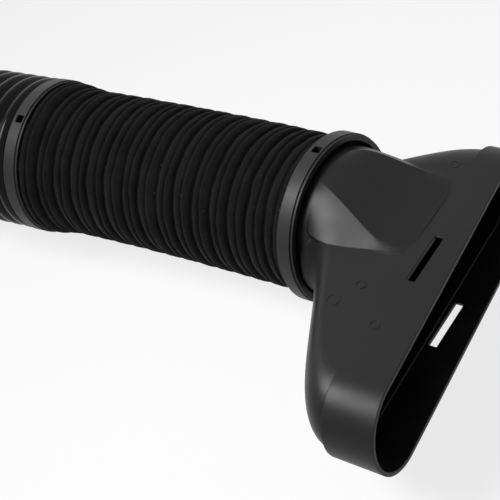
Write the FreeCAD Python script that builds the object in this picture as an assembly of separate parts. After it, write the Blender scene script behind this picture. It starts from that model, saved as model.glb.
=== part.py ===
"""Air intake hose: a flat moulded funnel, a ribbed textile sleeve, a corrugated tube and two clamp rings.

Millimetres. The origin is the centre of the funnel's mouth, +X points out of the mouth and +Z is up.
The sleeve leaves the funnel's neck along -X and bends slightly on its way to the tube.
"""
import FreeCAD, Part
import math
import os

from FreeCAD import Placement, Rotation, Vector

# Funnel mouth and collar
mouth_width = 187.0
mouth_height = 50.0
mouth_skew = 4.8          # degrees that the mouth's plane turns about Z
collar_depth = 22.5       # from the mouth back to the collar's step, at the middle
collar_skew = 1.6         # degrees that the step's plane turns about Z
collar_step = 3.0         # how far the collar stands out at each round end
collar_wall = 2.0
slot_length = 28.6
slot_width = 4.8
slot_setback = 15.3       # slot's middle behind the mouth's plane
slot_offset = 3.2         # slot's middle beside the mouth's middle, towards +Y

# Funnel body
funnel_length = 86.5      # from the mouth's middle back to the front ring's face
body_wall = 2.8
body_stations = 7
neck_offset = 31.8        # neck axis beside the mouth's middle, towards +Y
neck_radius = 39.0
neck_wall = 2.5
neck_length = 4.0         # plain round neck in front of the ring
shoulder_rise = 3       # body outside the neck where it starts, on the long side
shoulder_drop = 8       # body inside the neck where it starts, on the short side
near_sweep = 2.0         # how slowly the long side leaves the neck, 1 is a plain sine
far_sweep = 1.5
hump_length = 58.0        # half cone that sinks into the flat face
hump_bow = 0.015          # swell of the half cone's sides and top over their chords
hump_sink = 0.4           # depth of the half cone's end under the flat face
neck_ridges = (0.30, 0.43)  # where the half cone's two ridges start, as shares of its half width at the neck
# Half cone's sections: place along it, height as a share of that at the neck, then its near foot,
# near ridge, far ridge and far foot beside the neck axis as shares of its half width at the neck
hump_sections = (
    (0.30, 0.66, 1.17, 0.55, 0.67, 0.935),
    (0.50, 0.40, 1.13, 0.73, 0.69, 0.87),
    (0.75, 0.135, 1.035, 0.92, 0.71, 0.785),
    (1.00, -0.03, 0.94, 0.91, 0.71, 0.745),
)

# Clamp rings
ring_width = 9.4
ring_wall = 3.6
ring_lip_width = 1.5
ring_lip_step = 0.7
ring_bevel = 0.5
window_length = 4.8       # along the ring's rim
window_width = 4.6
window_count = 2
front_window_angle = 84.0  # from +Y towards +Z
rear_window_angle = 107.5

# Textile sleeve
sleeve_length = 181.0     # between the two rings
sleeve_bend = 6.4         # degrees
sleeve_bend_roll = 157.0  # direction that the rear end bends to, from +Y towards +Z
rib_count = 29
rib_height = 1.1          # rib's crest over the plain cuff
rib_depth = 1.7
cuff_wall = 2.0
bore_stations = 8
cuff_band = 5.0           # plain band beside the front ring
cuff_setback = 1.5        # cuff's edge inside the ring's outer face
rear_swell = 2.4          # how far the ribs beside the rear ring stand out
rear_swell_length = 20.0
spigot_length = 24.0      # plain tube inside each cuff, from the ring's outer face

# Corrugated tube
tube_wall = 1.6
fold_count = 5
fold_pitch = 9.5
fold_height = 5.8         # fold's crest over the spigot
fold_depth = 3.2
fold_crest = 3.4
end_cuff_length = 34.0
end_cuff_step = 2.0       # end cuff's surface over the spigot

clearance = 0.2           # between nested round pieces

# Places that follow from the sizes above
half_height = mouth_height / 2
ring_front = -funnel_length
cuff_inner = neck_radius + clearance
cuff_outer = cuff_inner + cuff_wall
ring_inner = cuff_outer + clearance
ring_radius = ring_inner + ring_wall
rib_radius = cuff_outer + rib_height
fold_radius = neck_radius + fold_height
end_cuff_radius = neck_radius + end_cuff_step
bore_radius = neck_radius - neck_wall


def place(distance):
    """Frame on the hose's centre line, its X along the line, this far behind the front ring's rear face."""
    turn = math.radians(sleeve_bend)
    bend_radius = sleeve_length / turn
    angle = turn * min(max(distance, 0.0), sleeve_length) / sleeve_length
    past_end = max(distance - sleeve_length, 0.0) + min(distance, 0.0)
    roll = math.radians(sleeve_bend_roll)
    side = Vector(0, math.cos(roll), math.sin(roll))
    forward = Vector(math.cos(angle), 0, 0) - side * math.sin(angle)
    start = Vector(ring_front - ring_width, neck_offset, 0)
    along = Vector(-bend_radius * math.sin(angle), 0, 0) + side * (bend_radius * (1 - math.cos(angle)))
    return Placement(start + along - forward * past_end, Rotation(Vector(1, 0, 0), forward))


def round_loft(stations):
    """Solid through circles given as (distance behind the front ring, radius), with straight flanks."""
    wires = []
    for distance, radius in stations:
        wire = Part.Wire(Part.makeCircle(radius, Vector(0, 0, 0), Vector(1, 0, 0)))
        wire.Placement = place(distance)
        wires.append(wire)
    return Part.makeLoft(wires, True, True)


def turned(profile):
    """Solid turned about X from (x, radius) corners."""
    corners = [Vector(x, 0, radius) for x, radius in profile]
    face = Part.Face(Part.makePolygon(corners + corners[:1]))
    return face.revolve(Vector(0, 0, 0), Vector(1, 0, 0), 360)


def stadium(x, near, far, half):
    """Wire across X with flat top and bottom and half-round ends at y = near and y = far."""
    near_centre = near + half
    far_centre = far - half
    corners = [Vector(x, near_centre, half), Vector(x, far_centre, half)]
    corners += [Vector(x, far_centre, -half), Vector(x, near_centre, -half)]
    return Part.Wire([
        Part.LineSegment(corners[0], corners[1]).toShape(),
        Part.Arc(corners[1], Vector(x, far, 0), corners[2]).toShape(),
        Part.LineSegment(corners[2], corners[3]).toShape(),
        Part.Arc(corners[3], Vector(x, near, 0), corners[0]).toShape(),
    ])


def skewed_slab(rear_x, rear_skew, front_x, front_skew):
    """Slab between two upright planes that cross the X axis at rear_x and front_x."""
    reach = mouth_width
    rear_shift = reach * math.tan(math.radians(rear_skew))
    front_shift = reach * math.tan(math.radians(front_skew))
    corners = [
        Vector(rear_x + rear_shift, -reach, -mouth_height),
        Vector(front_x + front_shift, -reach, -mouth_height),
        Vector(front_x - front_shift, reach, -mouth_height),
        Vector(rear_x - rear_shift, reach, -mouth_height),
    ]
    face = Part.Face(Part.makePolygon(corners + corners[:1]))
    return face.extrude(Vector(0, 0, 2 * mouth_height))


def body_loft(wall):
    """Flat body that widens from the neck to the collar, drawn in by a wall's thickness."""
    near_end = -mouth_width / 2 + collar_step
    far_end = mouth_width / 2 - collar_step
    near_start = neck_offset - neck_radius - shoulder_rise
    far_start = neck_offset + neck_radius - shoulder_drop
    start_x = ring_front + neck_length / 2
    end_x = -collar_depth
    wires = []
    for i in range(body_stations):
        share = i / (body_stations - 1)
        growth = math.sin(share * math.pi / 2)
        near = near_start + (near_end - near_start) * growth ** near_sweep
        far = far_start + (far_end - far_start) * growth ** far_sweep
        x = start_x + (end_x - start_x) * share
        wires.append(stadium(x, near + wall, far - wall, half_height - wall))
    throat = Part.Face(wires[-1]).extrude(Vector(collar_depth / 2, 0, 0))
    return Part.makeLoft(wires, True, False).fuse(throat)


def bowed(start, end, middle_y, middle_z):
    """Shallow arc between two corners of a section, through a point over the chord's middle."""
    return Part.Arc(start, Vector(start.x, middle_y, middle_z), end).toShape()


def hump_wire(x, corners, bows, side):
    """Section of the half cone from its four (y, z) corners and the points that its three arcs pass."""
    feet = [Vector(x, corners[-1][0], 0), Vector(x, corners[0][0], 0)]
    points = [Vector(x, y, side * z) for y, z in corners]
    edges = []
    for start, end, (y, z) in zip(points, points[1:], bows):
        edges.append(bowed(start, end, y, side * z))
    return Part.Wire(edges + Part.makePolygon([points[-1]] + feet + [points[0]]).Edges)


def hump(wall, side):
    """Half cone on the top (side 1) or bottom (side -1) that leads the round neck into the flat face."""
    radius = neck_radius - wall
    flat = half_height - wall
    half = math.sqrt(radius ** 2 - flat ** 2)
    start_x = ring_front + neck_length
    near_ridge, far_ridge = neck_ridges
    turns = [-1.0, -near_ridge, far_ridge, 1.0]
    turns = [(a, (a + b) / 2) for a, b in zip(turns, turns[1:])] + [(1.0, 1.0)]
    on_neck = [[(half * t, math.sqrt(radius ** 2 - (half * t) ** 2)) for t in pair] for pair in turns]
    corners = [(neck_offset + pair[0][0], pair[0][1]) for pair in on_neck]
    bows = [(neck_offset + pair[1][0], pair[1][1]) for pair in on_neck[:3]]
    wires = [hump_wire(start_x, corners, bows, side)]
    for share, height, near_foot, near, far, far_foot in hump_sections:
        foot_z = flat - hump_sink * share
        ridge_z = flat + (radius - flat) * height
        heights = (foot_z, ridge_z, ridge_z, foot_z)
        places = (-near_foot, -near, far, far_foot)
        corners = [(neck_offset + half * y, z) for y, z in zip(places, heights)]
        bows = []
        for (y0, z0), (y1, z1) in zip(corners, corners[1:]):
            bows.append(((y0 + y1) / 2, (z0 + z1) / 2 + hump_bow * (y1 - y0)))
        wires.append(hump_wire(start_x + hump_length * share, corners, bows, side))
    return Part.makeLoft(wires, True, False)


def neck(wall, rear_x):
    """Round neck from rear_x, with a cone that fades into the body."""
    radius = neck_radius - wall
    cone_start = ring_front + neck_length
    cone_length = hump_length / 2
    cone_end_radius = half_height - wall
    profile = [(rear_x, 0), (rear_x, radius), (cone_start, radius)]
    profile += [(cone_start + cone_length, cone_end_radius), (cone_start + cone_length, 0)]
    solid = turned(profile)
    solid.translate(Vector(0, neck_offset, 0))
    return solid


def funnel_volume(wall, mouth_wall, neck_drop, rear_x, step_x, front_x, front_skew):
    """The funnel's outer form, or its hollow when the walls are given."""
    half_width = mouth_width / 2 - mouth_wall
    rim = stadium(-2 * collar_depth, -half_width, half_width, half_height - mouth_wall)
    collar = Part.Face(rim).extrude(Vector(4 * collar_depth, 0, 0))
    collar = collar.common(skewed_slab(step_x, collar_skew, front_x, front_skew))
    pieces = [neck(neck_drop, rear_x), body_loft(wall), hump(wall, 1), hump(wall, -1), collar]
    return pieces[0].multiFuse(pieces[1:])


def intake_funnel():
    spigot_rear = ring_front - spigot_length
    outer = funnel_volume(0, 0, 0, spigot_rear, -collar_depth, 0, mouth_skew)
    past_end = collar_depth
    hollow = funnel_volume(body_wall, collar_wall, neck_wall, spigot_rear - past_end,
                           -collar_depth + body_wall, past_end, collar_skew)
    funnel = outer.cut(hollow)
    slot_corner = Vector(-slot_setback - slot_width / 2, slot_offset - slot_length / 2, -mouth_height)
    slots = Part.makeBox(slot_width, slot_length, 2 * mouth_height, slot_corner)
    return funnel.cut(slots)


def clamp_ring(front_distance, window_angle):
    """Ring whose front face lies this far behind the front ring's rear face."""
    lip_radius = ring_radius - ring_lip_step
    ring = turned([
        (0, ring_inner),
        (0, lip_radius),
        (-ring_lip_width, lip_radius),
        (-ring_lip_width, ring_radius),
        (-ring_width + ring_bevel, ring_radius),
        (-ring_width, ring_radius - ring_bevel),
        (-ring_width, ring_inner),
    ])
    middle = -ring_width / 2
    for i in range(window_count):
        corner = Vector(middle - window_width / 2, 0, -window_length / 2)
        window = Part.makeBox(window_width, 2 * ring_radius, window_length, corner)
        window.rotate(Vector(0, 0, 0), Vector(1, 0, 0), window_angle + i * 360 / window_count)
        ring = ring.cut(window)
    ring.Placement = place(front_distance)
    return ring


def rib_crest(distance):
    """Radius over the ribs, swelling towards the rear ring."""
    share = max(0.0, 1 - (sleeve_length - distance) / rear_swell_length)
    return rib_radius + rear_swell * math.sin(share * math.pi / 2)


def fabric_sleeve():
    front_edge = -ring_width + cuff_setback
    rear_edge = sleeve_length + ring_width - cuff_setback
    pitch = (sleeve_length - cuff_band) / rib_count
    band_radius = rib_radius - rib_depth / 2
    stations = [(front_edge, cuff_outer), (clearance, cuff_outer)]
    stations += [(clearance + rib_depth / 2, band_radius), (cuff_band, band_radius)]
    for i in range(rib_count):
        groove = cuff_band + i * pitch
        crest = groove + pitch / 2
        if i:
            stations.append((groove, rib_crest(groove) - rib_depth))
        stations.append((crest, rib_crest(crest)))
    stations += [(sleeve_length - clearance, cuff_outer), (rear_edge, cuff_outer)]
    span = (rear_edge - front_edge) / (bore_stations - 1)
    bore = [(front_edge + i * span, cuff_inner) for i in range(bore_stations)]
    bore[0] = (front_edge - cuff_wall, cuff_inner)
    bore[-1] = (rear_edge + cuff_wall, cuff_inner)
    return round_loft(stations).cut(round_loft(bore))


def corrugated_tube():
    """Blown tube: a spigot in the sleeve, folds behind the rear ring and a plain cuff at the far end."""
    shoulder = -ring_width - clearance
    valley = fold_radius - fold_depth
    outer = [(spigot_length - ring_width, neck_radius), (shoulder, neck_radius), (shoulder, valley)]
    inner = [(spigot_length - ring_width, bore_radius), (shoulder, bore_radius)]
    flank = (fold_pitch - fold_crest) / 2
    for i in range(fold_count):
        start = shoulder - i * fold_pitch
        crest_start = start - flank
        crest_end = crest_start - fold_crest
        outer += [(crest_start, fold_radius), (crest_end, fold_radius), (start - fold_pitch, valley)]
        crest_middle = (crest_start + crest_end) / 2
        inner += [(crest_middle, fold_radius - 2 * tube_wall), (start - fold_pitch, valley - tube_wall)]
    end = shoulder - fold_count * fold_pitch
    outer += [(end - fold_crest, end_cuff_radius), (end - end_cuff_length, end_cuff_radius)]
    cuff_bore = end_cuff_radius - tube_wall
    inner += [(end - fold_crest, cuff_bore), (end - end_cuff_length, cuff_bore)]
    tube = turned(outer + inner[::-1])
    tube.Placement = place(sleeve_length)
    return tube


def main():
    os.makedirs("parts", exist_ok=True)
    nodes = {
        "intake_funnel": intake_funnel(),
        "front_ring": clamp_ring(-ring_width, front_window_angle),
        "fabric_sleeve": fabric_sleeve(),
        "rear_ring": clamp_ring(sleeve_length, rear_window_angle),
        "corrugated_tube": corrugated_tube(),
    }
    for name, shape in nodes.items():
        shape.exportStep("parts/" + name + ".step")
        print(name, shape.isValid(), len(shape.Solids), round(shape.Volume), shape.BoundBox)


main()
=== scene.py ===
"""Air intake hose: finishes, the textile sleeve, the glossy corrugated tube, the light and the camera."""
import math
import random

import bpy
import bmesh
from mathutils import Matrix, Vector


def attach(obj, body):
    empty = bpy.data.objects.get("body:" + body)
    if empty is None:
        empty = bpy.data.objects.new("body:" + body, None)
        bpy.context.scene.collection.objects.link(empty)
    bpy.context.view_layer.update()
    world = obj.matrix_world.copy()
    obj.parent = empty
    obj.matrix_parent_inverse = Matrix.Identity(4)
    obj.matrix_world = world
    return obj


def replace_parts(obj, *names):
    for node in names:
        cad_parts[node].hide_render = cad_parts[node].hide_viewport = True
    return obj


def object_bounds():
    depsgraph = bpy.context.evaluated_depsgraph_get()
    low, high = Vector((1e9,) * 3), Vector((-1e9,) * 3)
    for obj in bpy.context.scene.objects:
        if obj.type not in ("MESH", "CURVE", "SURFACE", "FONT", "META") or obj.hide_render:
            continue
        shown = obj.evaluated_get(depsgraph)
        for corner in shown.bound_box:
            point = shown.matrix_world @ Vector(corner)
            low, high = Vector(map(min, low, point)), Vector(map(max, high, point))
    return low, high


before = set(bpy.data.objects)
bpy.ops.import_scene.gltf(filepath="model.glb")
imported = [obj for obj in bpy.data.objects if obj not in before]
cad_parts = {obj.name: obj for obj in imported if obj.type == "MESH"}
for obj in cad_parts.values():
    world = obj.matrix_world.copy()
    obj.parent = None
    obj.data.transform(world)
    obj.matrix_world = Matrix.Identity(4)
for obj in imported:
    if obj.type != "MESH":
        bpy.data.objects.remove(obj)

cad_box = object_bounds()
MM = 0.001

# Sizes of the part that the pieces here follow, in millimetres and degrees
funnel_length = 86.5
mouth_height = 50.0
neck_offset = 31.8
ring_width = 9.4
clearance = 0.2
sleeve_length = 181.0
sleeve_bend = 6.4
sleeve_bend_roll = 157.0
cuff_inner = 39.2
cuff_outer = 41.2
cuff_band = 5.0
cuff_setback = 1.5
rib_count = 29
rib_radius = 42.3
rib_depth = 1.7
rear_swell = 2.4
rear_swell_length = 20.0
fold_count = 5
fold_pitch = 9.5
fold_radius = 44.8
fold_depth = 3.2
tube_wall = 1.6
spigot_length = 24.0
spigot_radius = 39.0
bore_radius = 36.5
end_cuff_length = 34.0
end_cuff_radius = 41.0

# Plain band between the front ring and the first rib: where it starts and stops, and its sink in rib depths
band_start = 0.8
band_stop = cuff_band - 0.6
band_sink = 0.45

# Grooves between the ribs, weak and strong by turns: widths and shifts in rib pitches, depths in rib depths
groove_widths = (0.1, 0.14)
groove_depths = (0.75, 1.0)
groove_seed = 7
groove_shift_limit = 0.09
pinch_share = 0.7
swell_share = 0.3

# Unevenness round the sleeve: how strong each wave is, what its seeds count from and how often it turns
slow_waves = (1, 2, 3, 5)
crumple_waves = (7, 11, 16, 23)
sway, sway_seed = 0.05, 500
crumple, crumple_seed = 0.12, 700
depth_change = 0.2
slack_depth, slack_seed = 0.2, 900
pair_depth = 0.9
least_wall = 0.5

# Rounding of the tube's folds and edges
crest_fullness = 0.8
valley_sink = 0.4
fold_start = 0.2
fold_narrowing = 0.02
shoulder_edge = 0.3
cuff_run_in = ((2.0, 0.1), (3.4, 0.0))
lip_length = 0.5
lip_depth = 0.4

# Points per rib or fold along the hose, and points round each piece
steps = 12
bore_spans = 12
sleeve_points = 192
tube_points = 160
mark_points = 48

# Circles left by ejector pins on the flat face: x, y and radius
mark_places = ((-31.5, 63.3, 2.4), (-36.5, -20.5, 2.6), (-44.5, -33.0, 3.4), (-17.7, -39.5, 2.6))
mark_line = 0.35
mark_height = 0.12
mark_root = 0.1

# Where the half cone runs out into the flat face: middle and reach of the soft blend
run_out_centre = (-35.0, 28.0, 25.0)
run_out_reach = (13.0, 42.0, 22.0)
run_out_full = 0.7

# Colours, gloss and rounding of edges in metres
funnel_colour, funnel_roughness = (0.006, 0.006, 0.0062), 0.4
ring_colour, ring_roughness = (0.019, 0.019, 0.0193), 0.46
tube_colour, tube_roughness = (0.002, 0.002, 0.0021), (0.14, 0.24)
textile_dark, textile_light = (0.003, 0.003, 0.003, 1), (0.0115, 0.0115, 0.0117, 1)
textile_colour, lint_colour = (0.006, 0.006, 0.006), (0.05, 0.05, 0.05, 1)
edge_radius = 0.0007
run_out_radius = 0.007
edge_samples = 8

# Camera, fitted to the photograph
camera_place = Vector((0.29167, -0.33547, 0.49416))
camera_azimuth = 51.29
camera_elevation = 42.84
camera_roll = -24.28
focal_pixels = 1400.0
picture_pixels = 500.0
sensor_mm = 36.0

# Floor and light. The lift is the share of plain white in the floor as the camera sees it
floor_gap = 0.002
floor_reach = 6.0
floor_colour = (0.85, 0.85, 0.85)
paper_lift = 0.8
room_strength = 0.1


def hose_frame(distance):
    """Matrix on the hose's centre line, X along it, this far in millimetres behind the front ring's rear face."""
    turn = math.radians(sleeve_bend)
    bend_radius = sleeve_length / turn
    angle = turn * min(max(distance, 0.0), sleeve_length) / sleeve_length
    past_end = max(distance - sleeve_length, 0.0) + min(distance, 0.0)
    roll = math.radians(sleeve_bend_roll)
    side = Vector((0, math.cos(roll), math.sin(roll)))
    forward = Vector((math.cos(angle), 0, 0)) - side * math.sin(angle)
    start = Vector((-funnel_length - ring_width, neck_offset, 0))
    along = Vector((-bend_radius * math.sin(angle), 0, 0)) + side * (bend_radius * (1 - math.cos(angle)))
    place = (start + along - forward * past_end) * MM
    turned = Vector((1, 0, 0)).rotation_difference(forward).to_matrix().to_4x4()
    return Matrix.Translation(place) @ turned


def new_object(name, mesh, material):
    """Piece of the part with one material."""
    piece = bpy.data.objects.new(name, mesh)
    bpy.context.scene.collection.objects.link(piece)
    mesh.materials.append(material)
    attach(piece, "root")
    return piece


def finished_mesh(work, name):
    """Mesh from the worked faces, with their normals outward."""
    bmesh.ops.recalc_face_normals(work, faces=work.faces)
    mesh = bpy.data.meshes.new(name)
    work.to_mesh(mesh)
    work.free()
    return mesh


def ring_mesh(name, stations, around, radius_at):
    """Closed skin of rings along the hose, from stations of distance and kind; radius_at gives each radius."""
    work = bmesh.new()
    rings = []
    for distance, kind in stations:
        place = hose_frame(distance)
        ring = []
        for i in range(around):
            angle = 2 * math.pi * i / around
            radius = radius_at(distance, kind, angle) * MM
            point = Vector((0, radius * math.cos(angle), radius * math.sin(angle)))
            ring.append(work.verts.new(place @ point))
        rings.append(ring)
    for low, high in zip(rings, rings[1:] + rings[:1]):
        for i in range(around):
            j = (i + 1) % around
            work.faces.new((low[i], low[j], high[j], high[i]))
    mesh = finished_mesh(work, name)
    mesh.shade_smooth()
    return mesh


def shader(name, colour, roughness, specular):
    """Material with a plain principled shader; returns it with its node tree and shader."""
    material = bpy.data.materials.new(name)
    material.use_nodes = True
    tree = material.node_tree
    surface = tree.nodes["Principled BSDF"]
    surface.inputs["Base Color"].default_value = (*colour, 1)
    surface.inputs["Roughness"].default_value = roughness
    surface.inputs["Specular IOR Level"].default_value = specular
    return material, tree, surface


def noise(tree, scale, detail, rough=0.5):
    """Value of a noise texture in the part's own coordinates."""
    place = tree.nodes.new("ShaderNodeTexCoord")
    node = tree.nodes.new("ShaderNodeTexNoise")
    node.inputs["Scale"].default_value = scale
    node.inputs["Detail"].default_value = detail
    node.inputs["Roughness"].default_value = rough
    tree.links.new(place.outputs["Object"], node.inputs["Vector"])
    return node.outputs["Fac"]


def spread(tree, source, low, high, start=0.3, end=0.7):
    """Map a texture's value to a range."""
    node = tree.nodes.new("ShaderNodeMapRange")
    node.inputs["From Min"].default_value = start
    node.inputs["From Max"].default_value = end
    node.inputs["To Min"].default_value = low
    node.inputs["To Max"].default_value = high
    tree.links.new(source, node.inputs["Value"])
    return node.outputs["Result"]


def bump(tree, surface, source, strength, distance):
    """Bump from a height value, chained onto the surface's normal."""
    node = tree.nodes.new("ShaderNodeBump")
    node.inputs["Strength"].default_value = strength
    node.inputs["Distance"].default_value = distance
    tree.links.new(source, node.inputs["Height"])
    earlier = surface.inputs["Normal"]
    if earlier.is_linked:
        tree.links.new(earlier.links[0].from_socket, node.inputs["Normal"])
    tree.links.new(node.outputs["Normal"], earlier)


def rounded_edges(tree, radius):
    """Normal that rounds the edges within a radius."""
    node = tree.nodes.new("ShaderNodeBevel")
    node.samples = edge_samples
    node.inputs["Radius"].default_value = radius
    return node.outputs["Normal"]


def joined(tree, kind, operation, first, second):
    """Math or vector math node on two sockets, or on a socket and a fixed value."""
    node = tree.nodes.new(kind)
    node.operation = operation
    tree.links.new(first, node.inputs[0])
    if isinstance(second, bpy.types.NodeSocket):
        tree.links.new(second, node.inputs[1])
    elif second is not None:
        node.inputs[1].default_value = second
    return node


def run_out_mask(tree):
    """One over the end of the half cone, where it runs out into the flat face, falling to nothing around it."""
    place = tree.nodes.new("ShaderNodeTexCoord").outputs["Object"]
    centre = tuple(v * MM for v in run_out_centre)
    reach = tuple(v * MM for v in run_out_reach)
    shift = joined(tree, "ShaderNodeVectorMath", "SUBTRACT", place, centre)
    scale = joined(tree, "ShaderNodeVectorMath", "DIVIDE", shift.outputs["Vector"], reach)
    size = joined(tree, "ShaderNodeVectorMath", "LENGTH", scale.outputs["Vector"], None)
    return spread(tree, size.outputs["Value"], low=1.0, high=0.0, start=run_out_full, end=1.0)


def moulded_plastic(name, colour, roughness, run_out=False):
    """Satin moulded plastic: fine spark-eroded grain and faint flow clouds in the gloss."""
    material, tree, surface = shader(name, colour, roughness, specular=0.2)
    edge = rounded_edges(tree, edge_radius)
    if run_out:
        blend = tree.nodes.new("ShaderNodeMix")
        blend.data_type = "VECTOR"
        tree.links.new(run_out_mask(tree), blend.inputs["Factor"])
        tree.links.new(edge, blend.inputs["A"])
        tree.links.new(rounded_edges(tree, run_out_radius), blend.inputs["B"])
        edge = blend.outputs["Result"]
    tree.links.new(edge, surface.inputs["Normal"])
    clouds = spread(tree, noise(tree, scale=45, detail=4), low=roughness - 0.05, high=roughness + 0.07)
    tree.links.new(clouds, surface.inputs["Roughness"])
    bump(tree, surface, noise(tree, scale=2600, detail=2, rough=0.6), strength=0.22, distance=0.00012)
    bump(tree, surface, noise(tree, scale=30, detail=2), strength=0.12, distance=0.0012)
    return material


def glossy_plastic(name):
    """Blown plastic: nearly black and glossy, with faint clouds in the gloss and slight waves."""
    low, high = tube_roughness
    material, tree, surface = shader(name, tube_colour, (low + high) / 2, specular=0.12)
    clouds = spread(tree, noise(tree, scale=60, detail=3), low, high)
    tree.links.new(clouds, surface.inputs["Roughness"])
    bump(tree, surface, noise(tree, scale=120, detail=2), strength=0.12, distance=0.0006)
    return material


def textile(name):
    """Black textile with a short nap: a fine knit bump, uneven blackness, specks of lint and a soft sheen."""
    material, tree, surface = shader(name, textile_colour, roughness=0.95, specular=0.04)
    surface.inputs["Sheen Weight"].default_value = 0.045
    surface.inputs["Sheen Roughness"].default_value = 0.4
    nap = noise(tree, scale=1500, detail=6, rough=0.75)
    patches = noise(tree, scale=90, detail=4, rough=0.6)
    fine, broad = spread(tree, nap, low=0.3, high=1.4), spread(tree, patches, low=0.5, high=1.1)
    blackness = joined(tree, "ShaderNodeMath", "MULTIPLY", fine, broad)
    ramp = tree.nodes.new("ShaderNodeMix")
    ramp.data_type = "RGBA"
    ramp.inputs["A"].default_value = textile_dark
    ramp.inputs["B"].default_value = textile_light
    tree.links.new(blackness.outputs["Value"], ramp.inputs["Factor"])
    place = tree.nodes.new("ShaderNodeTexCoord")
    specks = tree.nodes.new("ShaderNodeTexVoronoi")
    specks.inputs["Scale"].default_value = 170
    tree.links.new(place.outputs["Object"], specks.inputs["Vector"])
    lint = tree.nodes.new("ShaderNodeMix")
    lint.data_type = "RGBA"
    lint.inputs["B"].default_value = lint_colour
    speck = spread(tree, specks.outputs["Distance"], low=1.0, high=0.0, start=0.03, end=0.075)
    tree.links.new(speck, lint.inputs["Factor"])
    tree.links.new(ramp.outputs["Result"], lint.inputs["A"])
    tree.links.new(lint.outputs["Result"], surface.inputs["Base Color"])
    bump(tree, surface, nap, strength=0.5, distance=0.0005)
    bump(tree, surface, patches, strength=0.25, distance=0.0015)
    return material


def rib_crest(distance):
    """Radius of the ribs' crests, which swells towards the rear ring."""
    share = max(0.0, 1 - (sleeve_length - distance) / rear_swell_length)
    return rib_radius + rear_swell * math.sin(share * math.pi / 2)


def wander(angle, seed, amount, waves=slow_waves):
    """Closed wave round the hose, different for each seed."""
    dice = random.Random(seed)
    total = 0.0
    for turns in waves:
        total += dice.uniform(-1, 1) * math.sin(turns * angle + dice.uniform(0, 2 * math.pi)) / turns ** 0.5
    return amount * total


def sleeve_piece(material):
    """Ribbed sleeve: paired ribs with crumpled grooves of uneven depth, plain cuffs and a smooth inside."""
    pitch = (sleeve_length - cuff_band) / rib_count
    dice = random.Random(groove_seed)
    groove_shift = [dice.uniform(-groove_shift_limit, groove_shift_limit) for k in range(rib_count + 2)]
    front_edge = -ring_width + cuff_setback
    rear_edge = sleeve_length + ring_width - cuff_setback
    stations = [(front_edge, "cuff"), (clearance, "cuff")]
    stations += [(distance, "band") for distance in (band_start, cuff_band * 0.5, band_stop)]
    stations += [(cuff_band + k * pitch / steps, "rib") for k in range(rib_count * steps)]
    stations += [(sleeve_length - clearance, "cuff"), (rear_edge, "cuff")]
    for k in range(bore_spans + 1):
        stations.append((rear_edge + (front_edge - rear_edge) * k / bore_spans, "bore"))

    def slack(angle, rib):
        return abs(wander(angle, rib + slack_seed, slack_depth))

    def radius_at(distance, kind, angle):
        if kind == "bore":
            return cuff_inner
        if kind == "cuff":
            return cuff_outer
        if kind == "band":
            return rib_radius - rib_depth * band_sink
        place = (distance - cuff_band) / pitch
        groove = round(place)
        strong = groove % 2
        offset = place - groove + groove_shift[groove] + wander(angle, groove + sway_seed, sway)
        offset += wander(angle, groove + crumple_seed, crumple, crumple_waves)
        pinch = math.exp(-(offset / groove_widths[strong]) ** 2)
        swell = 0.5 + 0.5 * math.cos(2 * math.pi * min(max(offset, -0.5), 0.5))
        depth = rib_depth * groove_depths[strong] * (1 + wander(angle, groove, depth_change))
        rib = math.floor(place)
        share = place - rib
        share = share * share * (3 - 2 * share)
        loose = (1 - share) * slack(angle, rib) + share * slack(angle, rib + 1)
        pair = 0.5 - 0.5 * math.cos(math.pi * place)
        cut = depth * (pinch_share * pinch + swell_share * swell)
        return max(rib_crest(distance) - cut - pair_depth * pair - loose, cuff_inner + least_wall)

    mesh = ring_mesh("textile_sleeve", stations, sleeve_points, radius_at)
    return new_object("textile_sleeve", mesh, material)


def tube_piece(material):
    """Blown tube: rounded folds, a plain spigot in front and a plain cuff behind."""
    shoulder = sleeve_length + ring_width + clearance
    front = shoulder - spigot_length + clearance
    valley = fold_radius - fold_depth
    end = shoulder + fold_count * fold_pitch
    rear = end + end_cuff_length
    cuff_bore = end_cuff_radius - tube_wall
    outer = [(front, spigot_radius), (shoulder - shoulder_edge, spigot_radius), (shoulder, valley - shoulder_edge)]
    for k in range(fold_count * steps + 1):
        phase = k / steps
        lift = abs(math.sin(math.pi * phase)) ** crest_fullness
        radius = valley - valley_sink + (fold_depth + valley_sink) * lift
        outer.append((shoulder + fold_start + phase * (fold_pitch - fold_narrowing), radius))
    outer += [(end + length, end_cuff_radius + rise) for length, rise in cuff_run_in]
    outer += [(rear - lip_length, end_cuff_radius), (rear, end_cuff_radius - lip_depth)]
    inner = [(rear, cuff_bore), (end + cuff_run_in[-1][0], cuff_bore)]
    for k in range(fold_count * steps, -1, -1):
        phase = k / steps
        lift = 0.5 - 0.5 * math.cos(2 * math.pi * phase)
        inner.append((shoulder + phase * fold_pitch, valley - tube_wall + (fold_depth - tube_wall) * lift))
    inner += [(shoulder, bore_radius), (front, bore_radius)]
    mesh = ring_mesh("blown_tube", outer + inner, tube_points, lambda distance, radius, angle: radius)
    return new_object("blown_tube", mesh, material)


def moulding_mark(index, place, radius, material):
    """Thin raised circle left by a mould's ejector pin on the flat face."""
    centre = Vector(place)
    inside = radius - mark_line
    profile = ((inside, -mark_root), (inside, mark_height), (radius, mark_height), (radius, -mark_root))
    work = bmesh.new()
    rings = []
    for i in range(mark_points):
        angle = 2 * math.pi * i / mark_points
        ring = []
        for reach, height in profile:
            point = centre + Vector((reach * math.cos(angle), reach * math.sin(angle), height))
            ring.append(work.verts.new(point * MM))
        rings.append(ring)
    for low, high in zip(rings, rings[1:] + rings[:1]):
        for k in range(len(profile)):
            m = (k + 1) % len(profile)
            work.faces.new((low[k], high[k], high[m], low[m]))
    new_object("moulding_mark_%d" % index, finished_mesh(work, "moulding_mark"), material)


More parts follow.
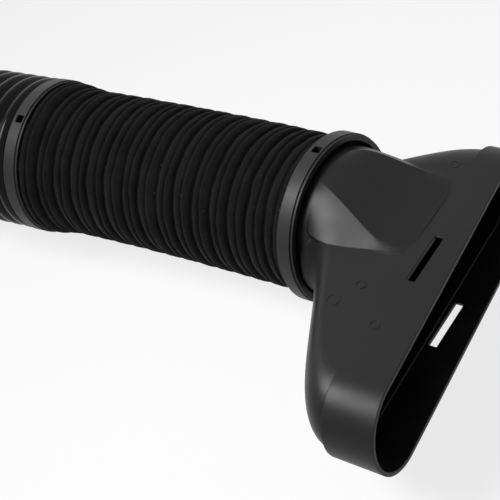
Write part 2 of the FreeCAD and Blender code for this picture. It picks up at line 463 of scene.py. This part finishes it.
def dress_parts():
    """Finish of every node, and the two pieces that stand for the sleeve and the tube."""
    funnel = moulded_plastic("funnel_plastic", funnel_colour, funnel_roughness, run_out=True)
    ring = moulded_plastic("ring_plastic", ring_colour, ring_roughness)
    for node, material in (("intake_funnel", funnel), ("front_ring", ring), ("rear_ring", ring)):
        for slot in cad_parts[node].material_slots:
            slot.material = material
    for index, (x, y, radius) in enumerate(mark_places):
        moulding_mark(index, (x, y, mouth_height / 2), radius, funnel)
    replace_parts(sleeve_piece(textile("sleeve_textile")), "fabric_sleeve")
    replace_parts(tube_piece(glossy_plastic("tube_plastic")), "corrugated_tube")


def seen_directly(tree):
    """One for rays from the camera, gloss or glass, and nothing for the rays that light the part."""
    path = tree.nodes.new("ShaderNodeLightPath")
    seen = path.outputs["Is Camera Ray"]
    for kind in ("Is Glossy Ray", "Is Transmission Ray"):
        seen = joined(tree, "ShaderNodeMath", "MAXIMUM", seen, path.outputs[kind]).outputs["Value"]
    return seen


def add_floor():
    """Pale paper floor, lifted towards white where it is seen directly, with the part's shadow on it."""
    low = cad_box[0][2] - floor_gap
    corners = [(x * floor_reach, y * floor_reach, low) for x, y in ((-1, -1), (1, -1), (1, 1), (-1, 1))]
    mesh = bpy.data.meshes.new("floor")
    mesh.from_pydata(corners, [], [(0, 1, 2, 3)])
    floor = bpy.data.objects.new("floor", mesh)
    bpy.context.scene.collection.objects.link(floor)
    material, tree, surface = shader("floor_paper", floor_colour, roughness=0.9, specular=0.0)
    lift = tree.nodes.new("ShaderNodeEmission")
    lift.inputs["Strength"].default_value = 1.0
    share = joined(tree, "ShaderNodeMath", "MULTIPLY", seen_directly(tree), paper_lift)
    blend = tree.nodes.new("ShaderNodeMixShader")
    tree.links.new(share.outputs["Value"], blend.inputs["Fac"])
    tree.links.new(surface.outputs["BSDF"], blend.inputs[1])
    tree.links.new(lift.outputs["Emission"], blend.inputs[2])
    tree.links.new(blend.outputs["Shader"], tree.nodes["Material Output"].inputs["Surface"])
    mesh.materials.append(material)


def add_world():
    """White backdrop where it is seen directly, and a plain dimmer room for the light on the part."""
    world = bpy.data.worlds.new("studio")
    bpy.context.scene.world = world
    world.use_nodes = True
    tree = world.node_tree
    back = tree.nodes["Background"]
    back.inputs["Color"].default_value = (1, 1, 1, 1)
    strength = tree.nodes.new("ShaderNodeMix")
    strength.inputs["A"].default_value = room_strength
    strength.inputs["B"].default_value = 1.0
    tree.links.new(seen_directly(tree), strength.inputs["Factor"])
    tree.links.new(strength.outputs["Result"], back.inputs["Strength"])


def add_lamp(name, place, aim, size, watts, spread_degrees):
    """Rectangular soft lamp that looks at a point."""
    data = bpy.data.lights.new(name, "AREA")
    data.shape = "RECTANGLE"
    data.size, data.size_y = size
    data.energy = watts
    data.spread = math.radians(spread_degrees)
    lamp = bpy.data.objects.new(name, data)
    lamp.location = place
    lamp.rotation_euler = (Vector(aim) - Vector(place)).to_track_quat("-Z", "Y").to_euler()
    bpy.context.scene.collection.objects.link(lamp)


def add_camera():
    """Camera at the photograph's viewing angle."""
    data = bpy.data.cameras.new("camera")
    data.sensor_width = sensor_mm
    data.lens = sensor_mm * focal_pixels / picture_pixels
    eye = bpy.data.objects.new("camera", data)
    turn = Matrix.Rotation(math.radians(camera_azimuth), 4, "Z")
    tilt = Matrix.Rotation(math.radians(90 - camera_elevation), 4, "X")
    roll = Matrix.Rotation(math.radians(camera_roll), 4, "Z")
    eye.matrix_world = Matrix.Translation(camera_place) @ turn @ tilt @ roll
    bpy.context.scene.collection.objects.link(eye)
    bpy.context.scene.camera = eye


dress_parts()
add_floor()
add_world()
add_lamp("near_softbox", place=(-0.56, -0.38, 0.88), aim=(0.02, -0.05, 0.0), size=(0.55, 0.42), watts=2.4,
         spread_degrees=70)
add_lamp("rear_softbox", place=(-1.25, 0.65, 0.75), aim=(-0.12, 0.0, 0.0), size=(1.1, 1.1), watts=2,
         spread_degrees=180)
add_camera()
bpy.context.scene.view_settings.view_transform = "Standard"
